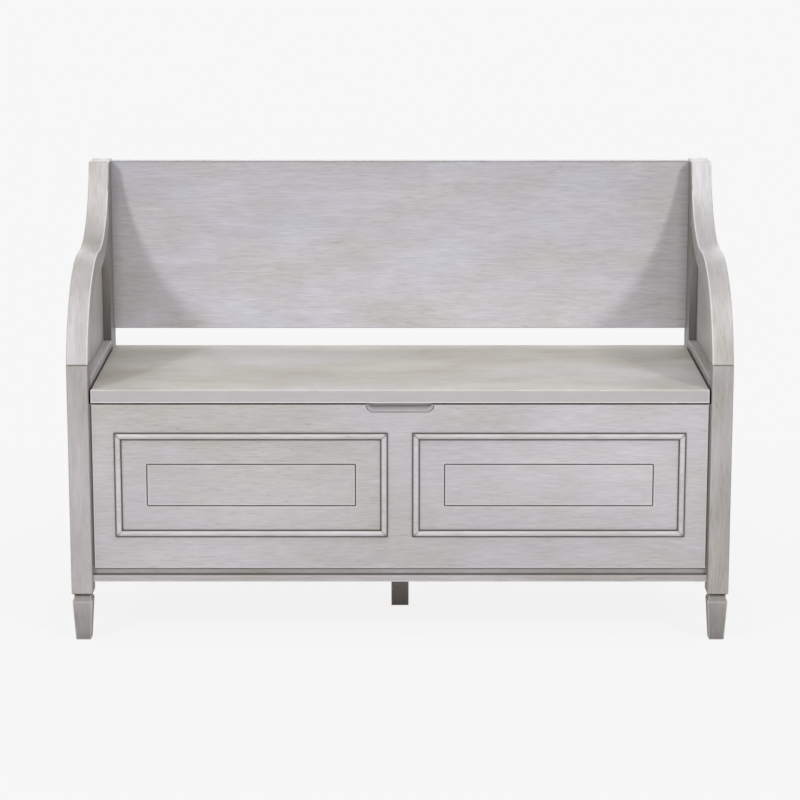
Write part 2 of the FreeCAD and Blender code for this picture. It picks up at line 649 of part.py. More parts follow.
def curved_arm():
    """Curved top member of an arm, from the top of the leg to the rear post."""
    body = new_body("arm_left", minus(END_FACE))
    inner_bend = bend_inside("Sizes.leg_depth")
    inner_sweep = sweep_outside("Sizes.leg_depth")
    lower_shoulder = total(BEND_CENTRE, inner_bend)
    sketch = new_sketch(body, "side", "YZ_Plane", "0")
    corners = [
        ("0", SEAM, BEND_RADIUS, -1),
        (SHOULDER_DEPTH, SHOULDER),
        (SWEEP_START, SHOULDER, "Sizes.sweep_radius", 1),
        (POST_FRONT, sweep_height("Sizes.sweep_radius", SWEEP_REACH)),
        (POST_FRONT, sweep_height(inner_sweep, SWEEP_REACH), inner_sweep, -1),
        (SWEEP_START, lower_shoulder),
        (SHOULDER_DEPTH, lower_shoulder, inner_bend, 1),
        ("Sizes.leg_depth", SEAM),
    ]
    outline(sketch, corners)
    pad(body, sketch, "side", "Sizes.frame_stock")

    def upper_arris(edge):
        side = all_at(edge, "X", "0") or all_at(edge, "X", "Sizes.frame_stock")
        return side and all(on_outer_curve(point) for point in edge.discretize(3))

    chamfer_edges(body, "arris", "Sizes.frame_chamfer", upper_arris)
    chamfer_edges(body, "seam", "Sizes.seam_chamfer", at_seam)
    pad_block(body, "stub", STUB_ACROSS, STUB_DEEP, STUB_HIGH)
    rear = (POST_FRONT, total(POST_FRONT, "Sizes.tenon_length"))
    pad_block(body, "tenon", TENON_ACROSS, rear, ARM_TENON_HIGH)
    groove_front = less("Sizes.leg_depth", "Sizes.groove_depth")
    groove_bend = bend_inside(groove_front)
    groove_sweep = sweep_outside(groove_front)
    groove_shoulder = total(BEND_CENTRE, groove_bend)
    sketch = new_sketch(body, "groove", "YZ_Plane", PANEL_ACROSS[0])
    corners = [
        (groove_front, SEAM, groove_bend, -1),
        (SHOULDER_DEPTH, groove_shoulder),
        (SWEEP_START, groove_shoulder, groove_sweep, 1),
        (POST_FRONT, sweep_height(groove_sweep, SWEEP_REACH)),
        (POST_FRONT, SEAM),
    ]
    outline(sketch, corners)
    pocket(body, sketch, "groove", "Sizes.panel_thickness")
    return body


def on_outer_curve(point):
    """Whether a point lies on the upper S-curve."""
    if point.y < size(SHOULDER_DEPTH):
        centre = FreeCAD.Vector(point.x, size(SHOULDER_DEPTH), size(BEND_CENTRE))
        return abs((point - centre).Length - size(BEND_RADIUS)) < CORNER_TOLERANCE
    if point.y < size(SWEEP_START):
        return near(point.z, SHOULDER)
    centre = FreeCAD.Vector(point.x, size(SWEEP_START), size(SWEEP_CENTRE))
    return abs((point - centre).Length - size("Sizes.sweep_radius")) < CORNER_TOLERANCE


def arm_panel():
    """Panel inside the arm, in grooves on all sides."""
    body = new_body("arm_panel_left", minus(END_FACE))
    front = total(less("Sizes.leg_depth", "Sizes.groove_depth"), "Sizes.panel_play")
    back = less(total(POST_FRONT, "Sizes.groove_depth"), "Sizes.panel_play")
    low = total(less(ARM_RAIL_TOP, "Sizes.groove_depth"), "Sizes.panel_play")
    bend = bend_inside(front)
    sweep = sweep_outside(front)
    shoulder = total(BEND_CENTRE, bend)
    sketch = new_sketch(body, "side", "YZ_Plane", PANEL_ACROSS[0])
    corners = [
        (front, low),
        (front, SEAM, bend, -1),
        (SHOULDER_DEPTH, shoulder),
        (SWEEP_START, shoulder, sweep, 1),
        (back, sweep_height(sweep, less(back, SWEEP_START))),
        (back, low),
    ]
    outline(sketch, corners)
    pad(body, sketch, "side", "Sizes.panel_thickness")
    return body


def side_rail(label, rail_bottom, grooves):
    """Rail of an end frame, with a tenon at each end and panel grooves."""
    body = new_body(label, minus(END_FACE))
    across = ("0", "Sizes.frame_stock")
    top = total(rail_bottom, "Sizes.rail_width")
    pad_block(body, "rail", across, ("Sizes.leg_depth", POST_FRONT), (rail_bottom, top))
    tenon_high = rail_tenon_high(rail_bottom)
    front = (less("Sizes.leg_depth", "Sizes.tenon_length"), "Sizes.leg_depth")
    back = (POST_FRONT, total(POST_FRONT, "Sizes.tenon_length"))
    pad_block(body, "tenon_front", TENON_ACROSS, front, tenon_high)
    pad_block(body, "tenon_back", TENON_ACROSS, back, tenon_high)
    length = ("Sizes.leg_depth", POST_FRONT)
    if "top" in grooves:
        high = (less(top, "Sizes.groove_depth"), top)
        cut_block(body, "groove_top", PANEL_ACROSS, length, high)
    if "bottom" in grooves:
        high = (rail_bottom, total(rail_bottom, "Sizes.groove_depth"))
        cut_block(body, "groove_bottom", PANEL_ACROSS, length, high)
    return body


def side_panel():
    """Panel of the box at one end."""
    body = new_body("side_panel_left", minus(END_FACE))
    front = total(less("Sizes.leg_depth", "Sizes.groove_depth"), "Sizes.panel_play")
    back = less(total(POST_FRONT, "Sizes.groove_depth"), "Sizes.panel_play")
    low = total(less(LOW_RAIL_TOP, "Sizes.groove_depth"), "Sizes.panel_play")
    high = less(total(ARM_RAIL_BOTTOM, "Sizes.groove_depth"), "Sizes.panel_play")
    pad_block(body, "panel", PANEL_ACROSS, (front, back), (low, high))
    return body


BEAD_LOW = total(FRONT_RAIL_TOP, "Sizes.bead_margin_bottom")
BEAD_HIGH = less(BOX_TOP, "Sizes.bead_margin_top")
BEAD_NEAR = half("Sizes.bead_gap")
BEAD_FAR = less(INNER_FACE, "Sizes.bead_margin_end")


def rounded_corners(low_x, low_y, high_x, high_y, radius):
    """Corners of a rectangle with rounded corners, walked anticlockwise."""
    return [
        (total(low_x, radius), low_y),
        (less(high_x, radius), low_y, radius, 1),
        (high_x, total(low_y, radius)),
        (high_x, less(high_y, radius), radius, 1),
        (less(high_x, radius), high_y),
        (total(low_x, radius), high_y, radius, 1),
        (low_x, less(high_y, radius)),
        (low_x, total(low_y, radius), radius, 1),
    ]


def front_panel():
    """Front board of the box: end rebates, finger recess and two scribed fields."""
    body = new_body("front_panel", "0")
    deep = (PANEL_FRONT, PANEL_BACK)
    across = (minus(INNER_FACE), INNER_FACE)
    pad_block(body, "board", across, deep, (FRONT_RAIL_TOP, BOX_TOP))
    rebate = (PANEL_FRONT, total(PANEL_FRONT, "Sizes.shadow_depth"))
    inside = less(INNER_FACE, "Sizes.shadow_width")
    high = (FRONT_RAIL_TOP, BOX_TOP)
    cut_block(body, "rebate_left", (minus(INNER_FACE), minus(inside)), rebate, high)
    cut_block(body, "rebate_right", (inside, INNER_FACE), rebate, high)

    def top_front(edge):
        long_one = edge.BoundBox.XLength > size(inside)
        return long_one and all_at(edge, "Z", BOX_TOP) and all_at(edge, "Y", PANEL_FRONT)

    round_edges(body, "arris", "Sizes.edge_radius", top_front)
    tongue = less("Sizes.groove_depth", "Sizes.panel_play")
    pad_ends(body, "tongue", INNER_FACE, tongue, TONGUE_DEEP, TONGUE_HIGH)
    side = half("Sizes.finger_width")
    low = less(BOX_TOP, "Sizes.finger_drop")
    corner = "Sizes.finger_radius"
    over = total(BOX_TOP, "Sizes.finger_depth * tan(Sizes.finger_slope)", str(PAST))
    sketch = new_sketch(body, "finger", "XZ_Plane", PANEL_FRONT)
    corners = [
        (minus(side), over),
        (minus(side), total(low, corner), corner, 1),
        (minus(less(side, corner)), low),
        (less(side, corner), low, corner, 1),
        (side, total(low, corner)),
        (side, over),
    ]
    outline(sketch, corners)
    pocket(body, sketch, "finger", "Sizes.finger_depth", "Sizes.finger_slope")
    field_low = total(BEAD_LOW, "Sizes.field_margin")
    field_high = less(BEAD_HIGH, "Sizes.field_margin")
    field_near = total(BEAD_NEAR, "Sizes.field_margin")
    field_far = less(BEAD_FAR, "Sizes.field_margin")
    width = "Sizes.field_groove_width"
    for name, low_x, high_x in (
        ("field_left", minus(field_far), minus(field_near)),
        ("field_right", field_near, field_far),
    ):
        sketch = new_sketch(body, name, "XZ_Plane", PANEL_FRONT)
        radius = "Sizes.field_corner_radius"
        outer = rounded_corners(low_x, field_low, high_x, field_high, radius)
        outline(sketch, outer, "outer")
        inner = (total(low_x, width), total(field_low, width))
        inner += (less(high_x, width), less(field_high, width))
        rectangle(sketch, *inner, tag="inner")
        pocket(body, sketch, name, "Sizes.field_groove_depth")
    return body


def bead(label, length, x_place, z_place, turn):
    """One mitred length of moulding, its long edge outwards, turned about the panel's normal."""
    body = doc.addObject("PartDesign::Body", label)
    body.Label = label
    rotation = FreeCAD.Rotation(FreeCAD.Vector(0, 1, 0), turn)
    place(body, x_place, less(PANEL_FRONT, MIDDLE), z_place, rotation)
    width = "Sizes.bead_width"
    step = "Sizes.bead_step"
    half_round = half(less(width, step, step))
    sketch = new_sketch(body, "section", "YZ_Plane", "0")
    corners = [
        ("0", "0"),
        ("0", width),
        (minus(step), width),
        (minus(step), less(width, step), total(half_round, "Sizes.bead_flatness"), 1),
        (minus(step), step),
        (minus(step), "0"),
    ]
    outline(sketch, corners)
    pad(body, sketch, "section", length)
    past = str(PAST)
    sketch = new_sketch(body, "mitres", "XZ_Plane", "0")
    over = total(width, past)
    outline(sketch, [("-" + past, "-" + past), (over, over), ("-" + past, over)], "start")
    far = less(length, over)
    end = total(length, past)
    outline(sketch, [(end, "-" + past), (end, over), (far, over)], "end")
    pocket(body, sketch, "mitres")
    return body


def bead_frame(side, low_x, high_x):
    """Four mitred pieces round one field of the front panel."""
    across = less(high_x, low_x)
    upright = less(BEAD_HIGH, BEAD_LOW)
    return [
        bead("bead_%s_bottom" % side, across, low_x, BEAD_LOW, 0),
        bead("bead_%s_top" % side, across, high_x, BEAD_HIGH, HALF_TURN),
        bead("bead_%s_west" % side, upright, low_x, BEAD_HIGH, QUARTER_TURN),
        bead("bead_%s_east" % side, upright, high_x, BEAD_LOW, -QUARTER_TURN),
    ]


def front_rail():
    """Rail under the front panel: a proud lip below a set-back band."""
    body = new_body("front_bottom_rail", "0")
    setback = "Sizes.front_rail_setback"
    lip = less(setback, "Sizes.front_lip_projection")
    lip_top = total("Sizes.box_bottom", "Sizes.front_lip_height")
    sketch = new_sketch(body, "section", "YZ_Plane", minus(INNER_FACE))
    corners = [
        (lip, "Sizes.box_bottom"),
        (FRONT_RAIL_BACK, "Sizes.box_bottom"),
        (FRONT_RAIL_BACK, FRONT_RAIL_TOP),
        (setback, FRONT_RAIL_TOP),
        (setback, lip_top),
        (lip, lip_top),
    ]
    outline(sketch, corners)
    pad(body, sketch, "section", total(INNER_FACE, INNER_FACE))

    def lip_edge(edge):
        return all_at(edge, "Y", lip) and all_at(edge, "Z", lip_top)

    round_edges(body, "arris", "Sizes.edge_radius", lip_edge)
    length = "Sizes.cross_tenon_length"
    pad_ends(body, "tenon", INNER_FACE, length, FRONT_TENON_DEEP, FRONT_TENON_HIGH)
    return body


def rear_rail(label, rail_bottom, groove_at_top):
    """Rail between the rear posts, grooved for the rear panel of the box."""
    body = new_body(label, "0")
    across = (minus(INNER_FACE), INNER_FACE)
    deep = (REAR_RAIL_FRONT, LID_BACK)
    top = total(rail_bottom, "Sizes.rail_width")
    pad_block(body, "rail", across, deep, (rail_bottom, top))
    length = "Sizes.cross_tenon_length"
    high = rail_tenon_high(rail_bottom)
    pad_ends(body, "tenon", INNER_FACE, length, REAR_TENON_DEEP, high)
    if groove_at_top:
        groove = (less(top, "Sizes.back_groove_depth"), top)
    else:
        groove = (rail_bottom, total(rail_bottom, "Sizes.back_groove_depth"))
    cut_block(body, "groove", across, BACK_PANEL_DEEP, groove)
    return body


def box_back_panel():
    """Thin rear panel of the box, in grooves on all sides."""
    body = new_body("box_back_panel", "0")
    reach = less(total(INNER_FACE, "Sizes.back_groove_depth"), "Sizes.panel_play")
    low = total(less(LOW_RAIL_TOP, "Sizes.back_groove_depth"), "Sizes.panel_play")
    high = less(total(HINGE_RAIL_BOTTOM, "Sizes.back_groove_depth"), "Sizes.panel_play")
    pad_block(body, "panel", (minus(reach), reach), BACK_PANEL_DEEP, (low, high))
    return body


def back_board():
    """Plain back rest between the rear posts."""
    body = new_body("back_board", "0")
    deep = (BOARD_FRONT, BOARD_BACK)
    across = (minus(INNER_FACE), INNER_FACE)
    pad_block(body, "board", across, deep, (BOARD_BOTTOM, BOARD_TOP))

    def long_edge(edge):
        return edge.BoundBox.XLength > size(INNER_FACE)

    round_edges(body, "arris", "Sizes.edge_radius", long_edge)
    length = "Sizes.board_tenon_length"
    pad_ends(body, "tenon", INNER_FACE, length, BOARD_TENON_DEEP, BOARD_TENON_HIGH)
    return body


def cleat(label, front, back):
    """Batten that carries the bottom panel, fixed along a rail."""
    body = new_body(label, "0")
    reach = less(INNER_FACE, "Sizes.bottom_play")
    pad_block(body, "batten", (minus(reach), reach), (front, back), (CLEAT_BOTTOM, CLEAT_TOP))
    return body


def bottom_panel():
    """Bottom of the box, loose on its cleats."""
    body = new_body("bottom_panel", "0")
    reach = less(INNER_FACE, "Sizes.bottom_play")
    deep = (total(FRONT_RAIL_BACK, "Sizes.bottom_play"), less(REAR_RAIL_FRONT, "Sizes.bottom_play"))
    high = (CLEAT_TOP, total(CLEAT_TOP, "Sizes.bottom_thickness"))
    pad_block(body, "panel", (minus(reach), reach), deep, high)
    return body


def bearer():
    """Batten from front to back under the bottom panel, lapped under both cleats."""
    body = new_body("centre_bearer", "0")
    side = half("Sizes.bearer_width")
    across = (minus(side), side)
    deep = (FRONT_RAIL_BACK, REAR_RAIL_FRONT)
    pad_block(body, "batten", across, deep, (BEARER_BOTTOM, CLEAT_TOP))
    over = total(CLEAT_TOP, str(PAST))
    front = (less(FRONT_RAIL_BACK, str(PAST)), FRONT_CLEAT_BACK)
    back = (REAR_CLEAT_FRONT, total(REAR_RAIL_FRONT, str(PAST)))
    wide = (minus(total(side, str(PAST))), total(side, str(PAST)))
    cut_block(body, "lap_front", wide, front, (CLEAT_BOTTOM, over))
    cut_block(body, "lap_back", wide, back, (CLEAT_BOTTOM, over))
    mortise = half("Sizes.centre_tenon_size")
    high = (BEARER_BOTTOM, total(BEARER_BOTTOM, "Sizes.centre_tenon_length"))
    deep = (less(MIDDLE, mortise), total(MIDDLE, mortise))
    cut_block(body, "mortise", (minus(mortise), mortise), deep, high)
    return body


def centre_leg():
    """Plain square leg under the middle of the box."""
    body = new_body("centre_leg", "0")
    side = half("Sizes.centre_leg_size")
    deep = (less(MIDDLE, side), total(MIDDLE, side))
    pad_block(body, "leg", (minus(side), side), deep, ("0", BEARER_BOTTOM))

    def upright(edge):
        return edge.BoundBox.ZLength > size(BEARER_BOTTOM) / 2

    chamfer_edges(body, "arris", "Sizes.frame_chamfer", upright)
    tenon = half("Sizes.centre_tenon_size")
    deep = (less(MIDDLE, tenon), total(MIDDLE, tenon))
    high = (BEARER_BOTTOM, total(BEARER_BOTTOM, "Sizes.centre_tenon_length"))
    pad_block(body, "tenon", (minus(tenon), tenon), deep, high)
    return body


def hinge_screw_places():
    """Distances from the middle of the bench to the screws of both hinges."""
    places = []
    middle = half("(%d * Sizes.screw_pitch)" % (SCREWS_PER_LEAF - 1))
    for hinge_middle in (minus(HINGE_MIDDLE), HINGE_MIDDLE):
        for number in range(SCREWS_PER_LEAF):
            places.append(less(total(hinge_middle, "%d * Sizes.screw_pitch" % number), middle))
    return places


SCREW_DEPTH = less(LID_BACK, half("Sizes.hinge_leaf_width"))
SCREW_HOLE = total("Sizes.screw_radius", "Sizes.screw_play")
SCREW_SINK = less(total("Sizes.screw_length", "Sizes.screw_play"), "Sizes.hinge_leaf_thickness")


def hinge_holes(body, name, bottom):
    """Blind holes for the hinge screws, cut upwards from a height."""
    sketch = new_sketch(body, name, "XY_Plane", bottom)
    for number, x_place in enumerate(hinge_screw_places()):
        circle(sketch, x_place, SCREW_DEPTH, SCREW_HOLE, "c%d" % number)
    pocket(body, sketch, name, SCREW_SINK)


def lid():
    """Seat board that covers the box."""
    body = new_body("lid", "0")
    reach = less(INNER_FACE, "Sizes.lid_side_gap")
    deep = ("Sizes.lid_setback", LID_BACK)
    pad_block(body, "board", (minus(reach), reach), deep, (LID_BOTTOM, "Sizes.seat_height"))

    def rim(edge):
        return all_at(edge, "Z", "Sizes.seat_height")

    round_edges(body, "rim", "Sizes.lid_edge_radius", rim)
    hinge_holes(body, "hinge_holes", LID_BOTTOM)
    return body


def hinge_leaf(label, middle, mine, turned):
    """One leaf of a butt hinge. The lid's leaf is the same, turned over about y."""
    body = doc.addObject("PartDesign::Body", label)
    body.Label = label
    reach = half("Sizes.hinge_length")
    if turned:
        rotation = FreeCAD.Rotation(FreeCAD.Vector(0, 1, 0), HALF_TURN)
        start = total(middle, reach)
    else:
        rotation = FreeCAD.Rotation()
        start = less(middle, reach)
    place(body, start, less(PIN_DEPTH, MIDDLE), PIN_HEIGHT, rotation)
    low = minus(half("Sizes.lid_gap"))
    high = total(low, "Sizes.hinge_leaf_thickness")
    edge = minus(total("Sizes.pin_offset", "Sizes.hinge_leaf_width"))
    sketch = new_sketch(body, "barrel", "YZ_Plane", "0")
    circle(sketch, "0", "0", "Sizes.hinge_barrel_radius")
    pad(body, sketch, "barrel", "Sizes.hinge_length")
    bore = total("Sizes.hinge_pin_radius", "Sizes.hinge_running_gap")
    wall_middle = minus(half(total(bore, "Sizes.hinge_barrel_radius")))
    pad_block(body, "plate", ("0", "Sizes.hinge_length"), (edge, wall_middle), (low, high))
    sketch = new_sketch(body, "knuckles", "XY_Plane", minus("Sizes.hinge_leaf_width"))
    pitch = "(Sizes.hinge_length / %d)" % KNUCKLES
    clear = half("Sizes.knuckle_gap")
    for number in range(KNUCKLES):
        if number in mine:
            continue
        start = less("%d * %s" % (number, pitch), clear)
        end = total("%d * %s" % (number + 1, pitch), clear)
        if number == 0:
            start = "-%s" % PAST
        if number == KNUCKLES - 1:
            end = total("Sizes.hinge_length", str(PAST))
        over = total("Sizes.hinge_barrel_radius", str(PAST))
        rectangle(sketch, start, minus("Sizes.pin_offset"), end, over, "k%d" % number)
    span = total("Sizes.hinge_leaf_width", "Sizes.hinge_leaf_width")
    pocket(body, sketch, "knuckles", span)
    sketch = new_sketch(body, "bore", "YZ_Plane", "0")
    circle(sketch, "0", "0", bore)
    pocket(body, sketch, "bore")
    sketch = new_sketch(body, "screw_holes", "XY_Plane", high)
    spread = half("(%d * Sizes.screw_pitch)" % (SCREWS_PER_LEAF - 1))
    row = minus(total("Sizes.pin_offset", half("Sizes.hinge_leaf_width")))
    for number in range(SCREWS_PER_LEAF):
        x_place = less(total(reach, "%d * Sizes.screw_pitch" % number), spread)
        circle(sketch, x_place, row, "Sizes.screw_radius", "c%d" % number)
    doc.recompute()
    before = body.Shape.Volume
    hole = body.newObject("PartDesign::Hole", label + "_countersinks")
    hole.Profile = sketch
    hole.DepthType = "ThroughAll"
    hole.HoleCutType = "Countersink"
    hole.HoleCutCountersinkAngle = QUARTER_TURN
    hole.setExpression("Diameter", "2 * %s" % SCREW_HOLE)
    head = total("Sizes.screw_head_radius", "Sizes.screw_play")
    hole.setExpression("HoleCutDiameter", "2 * %s" % head)
    settled(hole, False, before)
    return body


def hinge_pin(label, middle):
    """Hinge pin, as long as its hinge."""
    body = doc.addObject("PartDesign::Body", label)
    body.Label = label
    place(body, less(middle, half("Sizes.hinge_length")), less(PIN_DEPTH, MIDDLE), PIN_HEIGHT)
    sketch = new_sketch(body, "pin", "YZ_Plane", "0")
    circle(sketch, "0", "0", "Sizes.hinge_pin_radius")
    pad(body, sketch, "pin", "Sizes.hinge_length")
    return body


def hinge(side, middle):
    name = "hinge_" + side
    return [
        hinge_leaf(name + "_rail_leaf", middle, RAIL_KNUCKLES, False),
        hinge_leaf(name + "_lid_leaf", middle, LID_KNUCKLES, True),
        hinge_pin(name + "_pin", middle),
    ]


def hinge_screws(label, turned):
    """The countersunk screws of both hinges in the rail, or those in the lid.

    They are drawn pointing down; those of the lid are turned over.
    """
    body = doc.addObject("PartDesign::Body", label)
    body.Label = label
    body.AllowCompound = True
    first = hinge_screw_places()[0]
    plate_face = less(half("Sizes.lid_gap"), "Sizes.hinge_leaf_thickness")
    y_place = less(SCREW_DEPTH, MIDDLE)
    if turned:
        rotation = FreeCAD.Rotation(FreeCAD.Vector(0, 1, 0), HALF_TURN)
        place(body, minus(first), y_place, total(PIN_HEIGHT, plate_face), rotation)
    else:
        place(body, first, y_place, less(PIN_HEIGHT, plate_face))
    sketch = new_sketch(body, "screw", "XZ_Plane", "0")
    radius = "Sizes.screw_radius"
    head = "Sizes.screw_head_radius"
    neck = minus(less(head, radius))
    tip = minus("Sizes.screw_length")
    outline(sketch, [("0", "0"), ("0", tip), (radius, tip), (radius, neck), (head, "0")])
    screw = body.newObject("PartDesign::Revolution", label + "_screw")
    screw.Profile = sketch
    screw.ReferenceAxis = (sketch, ["V_Axis"])
    screw.Angle = FULL_TURN
    settled(screw, True, 0)
    rows = body.newObject("PartDesign::MultiTransform", label + "_rows")
    rows.Originals = [screw]
    spread = "(%d * Sizes.screw_pitch)" % (SCREWS_PER_LEAF - 1)
    patterns = []
    hinge_spacing = total(HINGE_MIDDLE, HINGE_MIDDLE)
    for name, count, reach in (("leaf", SCREWS_PER_LEAF, spread), ("pair", 2, hinge_spacing)):
        pattern = doc.addObject("PartDesign::LinearPattern", "%s_%s" % (label, name))
        pattern.Direction = (origin_item(body, "X_Axis"), [""])
        pattern.Occurrences = count
        pattern.setExpression("Length", reach)
        patterns.append(pattern)
    rows.Transformations = patterns
    body.Tip = rows
    settled(rows, True, screw.Shape.Volume)
    return body


def bumpers():
    """Two soft square bumpers on the top edge of the front panel."""
    body = new_body("lid_bumpers", "0", compound=True)
    front = total(PANEL_FRONT, half(less("Sizes.front_panel_thickness", "Sizes.bumper_size")))
    back = total(front, "Sizes.bumper_size")
    near_side = less(INNER_FACE, "Sizes.bumper_inset", "Sizes.bumper_size")
    far_side = less(INNER_FACE, "Sizes.bumper_inset")
    sketch = new_sketch(body, "pads", "XY_Plane", BOX_TOP)
    rectangle(sketch, minus(far_side), front, minus(near_side), back, "left")
    rectangle(sketch, near_side, front, far_side, back, "right")
    pad(body, sketch, "pads", less("Sizes.lid_gap", "Sizes.bumper_play"))
    return body


def mirror(body):
    """The right-hand twin of a left-hand piece."""
    label = body.Label.replace("_left", "_right")
    twin = doc.addObject("Part::Mirroring", label)
    twin.Label = label
    twin.Source = body
    twin.Base = FreeCAD.Vector()
    twin.Normal = FreeCAD.Vector(1, 0, 0)
    return twin


def build_pieces():
    left = [
        front_leg(),
        rear_post(),
        curved_arm(),
        arm_panel(),
        side_rail("side_top_rail_left", ARM_RAIL_BOTTOM, ("top", "bottom")),
        side_rail("side_bottom_rail_left", "Sizes.box_bottom", ("top",)),
        side_panel(),
    ]
    pieces = left + [mirror(body) for body in left]
    pieces.append(front_panel())
    pieces += bead_frame("left", minus(BEAD_FAR), minus(BEAD_NEAR))
    pieces += bead_frame("right", BEAD_NEAR, BEAD_FAR)
    pieces.append(front_rail())
    hinge_rail = rear_rail("hinge_rail", HINGE_RAIL_BOTTOM, False)
    hinge_holes(hinge_rail, "hinge_holes", less(BOX_TOP, SCREW_SINK))
    rear_bottom_rail = rear_rail("rear_bottom_rail", "Sizes.box_bottom", True)
    pieces += [hinge_rail, rear_bottom_rail, box_back_panel(), back_board()]
    pieces.append(cleat("front_cleat", FRONT_RAIL_BACK, FRONT_CLEAT_BACK))
    pieces.append(cleat("rear_cleat", REAR_CLEAT_FRONT, REAR_RAIL_FRONT))
    pieces += [bottom_panel(), bearer(), centre_leg(), lid()]
    pieces += hinge("left", minus(HINGE_MIDDLE))
    pieces += hinge("right", HINGE_MIDDLE)
    pieces.append(hinge_screws("hinge_rail_screws", False))
    pieces.append(hinge_screws("hinge_lid_screws", True))
    pieces.append(bumpers())
    return pieces


def check(pieces):
    """Stop on a failed object or a bad shape before anything is written."""
    doc.recompute()
    for item in doc.Objects:
        for state in item.State:
            if state in ("Invalid", "Error"):
                raise ValueError("%s is %s" % (item.Name, state))
    for piece in pieces:
        shape = piece.Shape
        if shape.isNull() or not shape.isValid() or not shape.Solids:
            raise ValueError("%s has no sound shape" % piece.Label)


pieces = build_pieces()
check(pieces)
os.makedirs("parts", exist_ok=True)
for piece in pieces:
    piece.Shape.exportStep("parts/%s.step" % piece.Label)
whole = Part.makeCompound([piece.Shape for piece in pieces])
box = whole.BoundBox
print("%d pieces, %.1f x %.1f x %.1f mm" % (len(pieces), box.XLength, box.YLength, box.ZLength))
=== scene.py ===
import math

import bmesh
import bpy
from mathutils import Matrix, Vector


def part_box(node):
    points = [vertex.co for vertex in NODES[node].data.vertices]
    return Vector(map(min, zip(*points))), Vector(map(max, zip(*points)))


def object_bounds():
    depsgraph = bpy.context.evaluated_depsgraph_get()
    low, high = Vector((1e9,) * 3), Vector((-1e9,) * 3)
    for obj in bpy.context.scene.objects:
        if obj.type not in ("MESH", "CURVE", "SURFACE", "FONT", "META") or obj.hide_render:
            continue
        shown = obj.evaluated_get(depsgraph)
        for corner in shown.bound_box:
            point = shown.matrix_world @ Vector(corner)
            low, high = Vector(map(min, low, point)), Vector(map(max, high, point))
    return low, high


# Settle bench in grey-washed paint. Metres: X along the bench, Y to the back, Z up.

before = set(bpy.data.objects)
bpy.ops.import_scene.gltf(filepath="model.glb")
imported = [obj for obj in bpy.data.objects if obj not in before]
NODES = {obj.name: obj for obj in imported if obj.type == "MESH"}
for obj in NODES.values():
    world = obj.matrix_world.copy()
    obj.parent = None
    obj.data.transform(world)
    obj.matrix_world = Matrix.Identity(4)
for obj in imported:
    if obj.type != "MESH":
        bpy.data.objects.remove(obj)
CAD_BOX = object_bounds()

# Camera, fitted to the legs, the lid and the back board.

IMAGE_SIZE = 800
FOCAL_PIXELS = 2667.0
SENSOR_WIDTH = 36.0
CAMERA_DISTANCE = 4.592
CAMERA_HEIGHT = 1.447
CAMERA_TILT = 11.49
CAMERA_SHIFT = -0.05

# Places on the bench that the paint follows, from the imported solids.

LEG_LOW, LEG_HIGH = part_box("front_leg_left")
POST_LOW, POST_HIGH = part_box("rear_post_left")
LID_LOW, LID_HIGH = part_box("lid")
BOARD_LOW, BOARD_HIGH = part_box("back_board")
INNER = -LEG_HIGH[0]
OUTER = -LEG_LOW[0]
LEG_BACK = LEG_HIGH[1]
SEAM = LEG_HIGH[2]
POST_FRONT = POST_LOW[1]
PANEL_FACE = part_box("front_panel")[0][1]
LIP_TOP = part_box("front_bottom_rail")[0][2] + 0.012
NECK_LOW = 0.0715
NECK_HIGH = 0.087
RECESS_SIDE = 0.5645
FAR = 2.0

# Edges and lines of the paint. SKIN is the soft edge of a zone, and a light line of wear and
# painted highlight, or a dark line of glaze and painted shade, on a face runs from EDGE_START
# to EDGE_END in from its corner.

SKIN = 0.0005
EDGE_START = 0.0006
EDGE_END = 0.0018
THIN_LINE = 0.0012
SEAM_HALF = 0.0015
BEAD_FLAT = 0.0021
REBATE_SIDE = 0.0044
REBATE_BACK = 0.0035
LID_ROUND = 0.002
LID_FACE = 0.0003
TIGHT_CORNER = 0.004
WIDE_CORNER = 0.03
ROUNDED_EDGE = 0.003
JOINT_NEAR = 0.004
JOINT_FAR = 0.006
SAMPLES = 8

# The paint. Colours are linear.


def srgb(red, green, blue):
    """Linear colour of three display values from 0 to 255."""
    linear = []
    for value in (red, green, blue):
        share = value / 255
        if share <= 0.04045:
            linear.append(share / 12.92)
        else:
            linear.append(((share + 0.055) / 1.055) ** 2.4)
    return (*linear, 1.0)


# Dark brown: a glaze, and also painted shade in corners, gaps, recesses and on shaded faces.
GLAZE_AND_SHADE = srgb(74, 67, 59)
WASH = srgb(205, 203, 209)
# Light: wear on edges, and also a painted highlight along them.
WORN_AND_HIGHLIGHT = srgb(226, 224, 222)
LILAC = srgb(174, 169, 172)
BACKGROUND = 0.93


